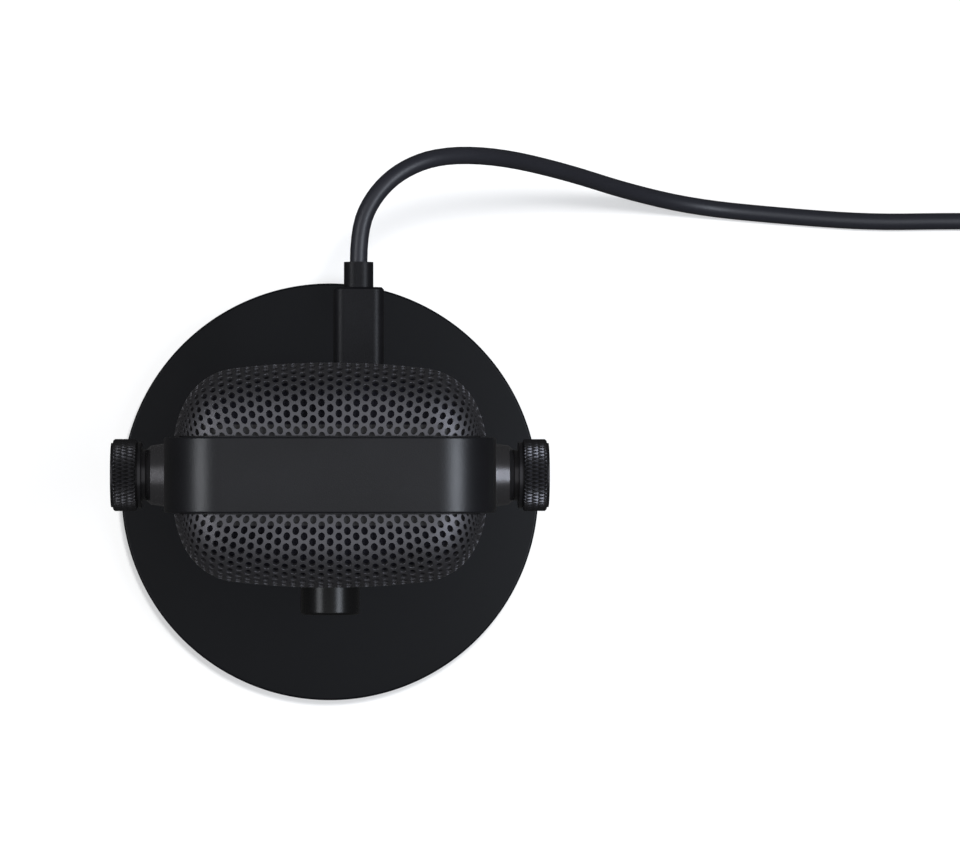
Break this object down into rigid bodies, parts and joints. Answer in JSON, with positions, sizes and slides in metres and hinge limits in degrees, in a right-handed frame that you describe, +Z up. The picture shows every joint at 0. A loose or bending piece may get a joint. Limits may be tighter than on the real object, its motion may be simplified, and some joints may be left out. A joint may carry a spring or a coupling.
{
  "type": "desk ribbon microphone",
  "caption": "Desk ribbon microphone: perforated head in a flat band, tilting in a yoke on a round base, with thumb screws, a push dial and a cord.",
  "frame": {"origin": "on the table under the middle of the base disc", "axes": "+Z up, +Y to the rear where the cord leaves, +X to the right of somebody facing the front"},
  "size_m": [0.2697, 0.1336, 0.205],
  "materials": {
    "base_black": "satin black coat on turned steel",
    "pad_rubber": "matte",
    "black_steel": "black oxide",
    "yoke_black": "satin black coat",
    "bush_plastic": "matte",
    "band_black": "fine bead-blasted matte black",
    "grille_black": "satin black coat on perforated sheet",
    "foam": "open-cell foam behind fine mesh",
    "cover_black": "fine satin texture",
    "chassis_plastic": "moulded",
    "brass": "turned",
    "knob_black": "black anodised, knurled",
    "magnet": "nickel plated",
    "iron": "bare",
    "frame_aluminium": "milled",
    "ribbon_foil": "bright corrugated foil",
    "copper": "enamelled copper wire",
    "board_green": "solder mask",
    "socket_steel": "nickel plated",
    "dial_black": "glossy black anodised",
    "plug_black": "finely textured",
    "cord_black": "satin jacket",
    "tie_black": "woven strap"
  },
  "bodies": {
    "base": {"base_pad": "pad_rubber", "base_plate": "base_black", "base_bolt": "black_steel", "riser": "yoke_black", "yoke": "yoke_black", "yoke_bolt": "black_steel", "arm_bush_left": "bush_plastic", "arm_bush_right": "bush_plastic", "friction_pad_left": "pad_rubber", "friction_pad_right": "pad_rubber", "cord_air": "cord_black", "cord_table": "cord_black", "cord_coil": "cord_black", "cord_tie": "tie_black", "far_plug_relief": "plug_black", "far_plug_body": "plug_black", "far_plug_shell": "socket_steel"},
    "head": {"band": "band_black", "grille_front": "grille_black", "grille_rear": "grille_black", "cover_front": "cover_black", "cover_rear": "cover_black", "headphone_socket": "chassis_plastic", "foam_front": "foam", "foam_rear": "foam", "chassis": "chassis_plastic", "bulkhead": "chassis_plastic", "motor_frame": "frame_aluminium", "ribbon": "ribbon_foil", "ribbon_clamp_lower": "chassis_plastic", "ribbon_clamp_upper": "chassis_plastic", "transformer_core": "iron", "transformer_coil": "copper", "main_board": "board_green", "usb_socket": "socket_steel", "front_board": "board_green", "encoder": "socket_steel", "pole_left": "iron", "pole_right": "iron", "magnet_left": "magnet", "magnet_right": "magnet", "pivot_insert_left": "brass", "pivot_insert_right": "brass", "band_screw_left": "black_steel", "band_screw_right": "black_steel", "plug_shell": "socket_steel", "plug_relief": "plug_black", "plug_body": "plug_black"},
    "dial_shaft": {"dial_shaft": "socket_steel"},
    "dial": {"dial": "dial_black"},
    "washer_left": {"washer_left": "knob_black"},
    "knob_left": {"knob_left": "knob_black", "knob_screw_left": "black_steel", "knob_cap_left": "knob_black"},
    "washer_right": {"washer_right": "knob_black"},
    "knob_right": {"knob_right": "knob_black", "knob_screw_right": "black_steel", "knob_cap_right": "knob_black"}
  },
  "joints": [
    {"name": "head_tilt", "type": "hinge", "parent": "base", "child": "head", "pos_m": [0, 0.004, 0.118], "axis": [1, 0, 0], "range_deg": [-35, 35], "deforming": ["cord_air"]},
    {"name": "screw_travel_left", "type": "slide", "parent": "head", "child": "washer_left", "axis": [-1, 0, 0], "range_m": [0, 0.0016]},
    {"name": "knob_turn_left", "type": "hinge", "parent": "washer_left", "child": "knob_left", "pos_m": [-0.042, 0.004, 0.118], "axis": [-1, 0, 0], "range_deg": [0, 720]},
    {"name": "screw_travel_right", "type": "slide", "parent": "head", "child": "washer_right", "axis": [1, 0, 0], "range_m": [0, 0.0016]},
    {"name": "knob_turn_right", "type": "hinge", "parent": "washer_right", "child": "knob_right", "pos_m": [0.042, 0.004, 0.118], "axis": [1, 0, 0], "range_deg": [0, 720]},
    {"name": "dial_push", "type": "slide", "parent": "head", "child": "dial_shaft", "axis": [0, 1, 0], "range_m": [0, 0.0005], "stiffness_N_per_m": 4000, "springref_m": -0.0004},
    {"name": "dial_turn", "type": "hinge", "parent": "dial_shaft", "child": "dial", "pos_m": [0, -0.0235, 0.082], "axis": [0, -1, 0], "continuous": true}
  ],
  "couplings": [
    {"joint": "knob_turn_left", "follows": "screw_travel_left", "rad_per_m": 7854},
    {"joint": "knob_turn_right", "follows": "screw_travel_right", "rad_per_m": 7854}
  ]
}
